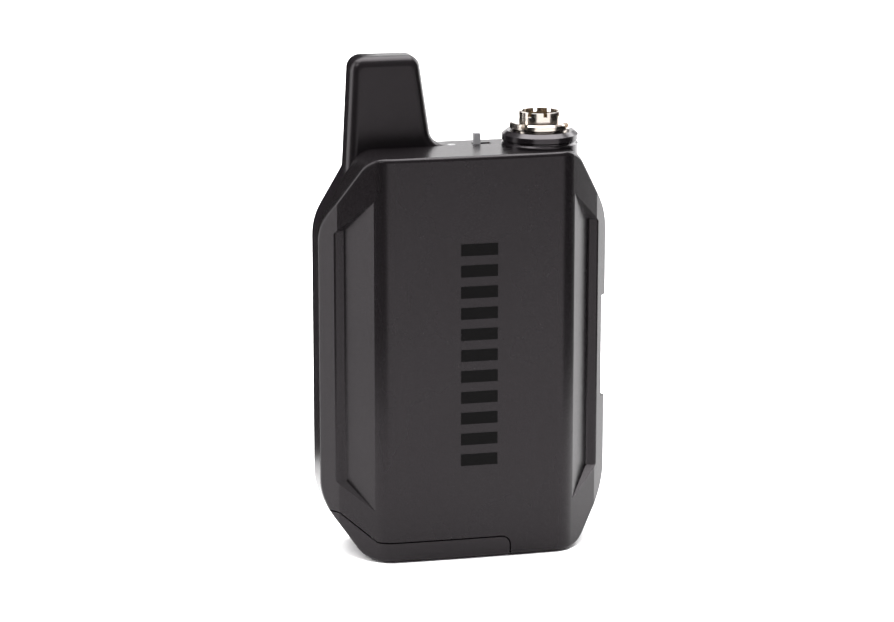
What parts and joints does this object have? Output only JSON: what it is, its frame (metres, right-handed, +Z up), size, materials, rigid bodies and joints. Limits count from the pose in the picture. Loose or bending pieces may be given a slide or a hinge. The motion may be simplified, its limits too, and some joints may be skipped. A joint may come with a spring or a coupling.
{
  "type": "wireless guitar transmitter",
  "caption": "Body-worn radio transmitter for an electric guitar with an antenna lobe, round locking connector, sliding battery door and sprung belt clip.",
  "frame": {"origin": "centre of the flat base the case stands on", "axes": "+X to the right of the front panel, -Y out of the front panel, +Z up along the antenna"},
  "size_m": [0.065, 0.0298, 0.11],
  "materials": {
    "cover_paint": "satin charcoal paint",
    "housing_plastic": "fine matte charcoal",
    "gloss_black": "gloss black",
    "black_plastic": "matte black",
    "nickel": "bright nickel plate",
    "gold_pins": "gold plate",
    "switch_grey": "light grey",
    "lamp_clear": "translucent light pipe",
    "seal_rubber": "black rubber",
    "circuit_board": "green solder mask",
    "chip_epoxy": "moulded epoxy",
    "tin_plate": "tinned sheet",
    "screw_steel": "blackened steel",
    "spring_steel": "bare spring steel",
    "clip_coat": "black coated steel",
    "cell_wrap": "dark shrink sleeve",
    "label_film": "blank grey film"
  },
  "bodies": {
    "housing": {"antenna_board": "circuit_board", "antenna_lead": "tin_plate", "antenna_screw": "screw_steel", "battery_contacts": "gold_pins", "battery_pack": "cell_wrap", "battery_tray": "black_plastic", "board_screws": "screw_steel", "case_gasket": "seal_rubber", "case_screws": "screw_steel", "circuit_chips": "chip_epoxy", "clip_bracket": "clip_coat", "clip_hinge_pin": "spring_steel", "clip_screws": "screw_steel", "clip_spring": "spring_steel", "connector_bushing": "nickel", "connector_collar": "gloss_black", "connector_insulator": "black_plastic", "connector_nut": "nickel", "connector_pins": "gold_pins", "connector_washer": "nickel", "contact_block": "black_plastic", "front_cover": "cover_paint", "jack_board": "circuit_board", "link_switch": "black_plastic", "main_board": "circuit_board", "panel_bars": "gloss_black", "rear_housing": "housing_plastic", "rear_label": "label_film", "shield_can": "tin_plate", "side_board": "circuit_board", "side_panel": "housing_plastic", "status_lamp": "lamp_clear", "status_led": "lamp_clear", "switch_body": "black_plastic", "top_board": "circuit_board", "usb_connector": "nickel", "usb_tongue": "black_plastic"},
    "battery_door": {"battery_door": "housing_plastic"},
    "door_lock_bolt": {"door_lock_bolt": "black_plastic"},
    "belt_clip": {"belt_clip": "clip_coat"},
    "power_switch": {"power_switch": "switch_grey"},
    "link_button": {"link_button": "gloss_black"}
  },
  "joints": [
    {"name": "battery_door_slide", "type": "slide", "parent": "housing", "child": "battery_door", "axis": [-1, 0, 0], "range_m": [0, 0.038]},
    {"name": "door_lock_slide", "type": "slide", "parent": "housing", "child": "door_lock_bolt", "axis": [0, 1, 0], "range_m": [0, 0.0014]},
    {"name": "belt_clip_hinge", "type": "hinge", "parent": "housing", "child": "belt_clip", "pos_m": [0, 0.015, 0.07], "axis": [1, 0, 0], "range_deg": [0, 14], "stiffness_Nm_per_rad": 1.3},
    {"name": "power_switch_slide", "type": "slide", "parent": "housing", "child": "power_switch", "axis": [1, 0, 0], "range_m": [0, 0.002]},
    {"name": "link_button_press", "type": "slide", "parent": "housing", "child": "link_button", "axis": [-1, 0, 0], "range_m": [0, 0.0005], "stiffness_N_per_m": 800}
  ]
}
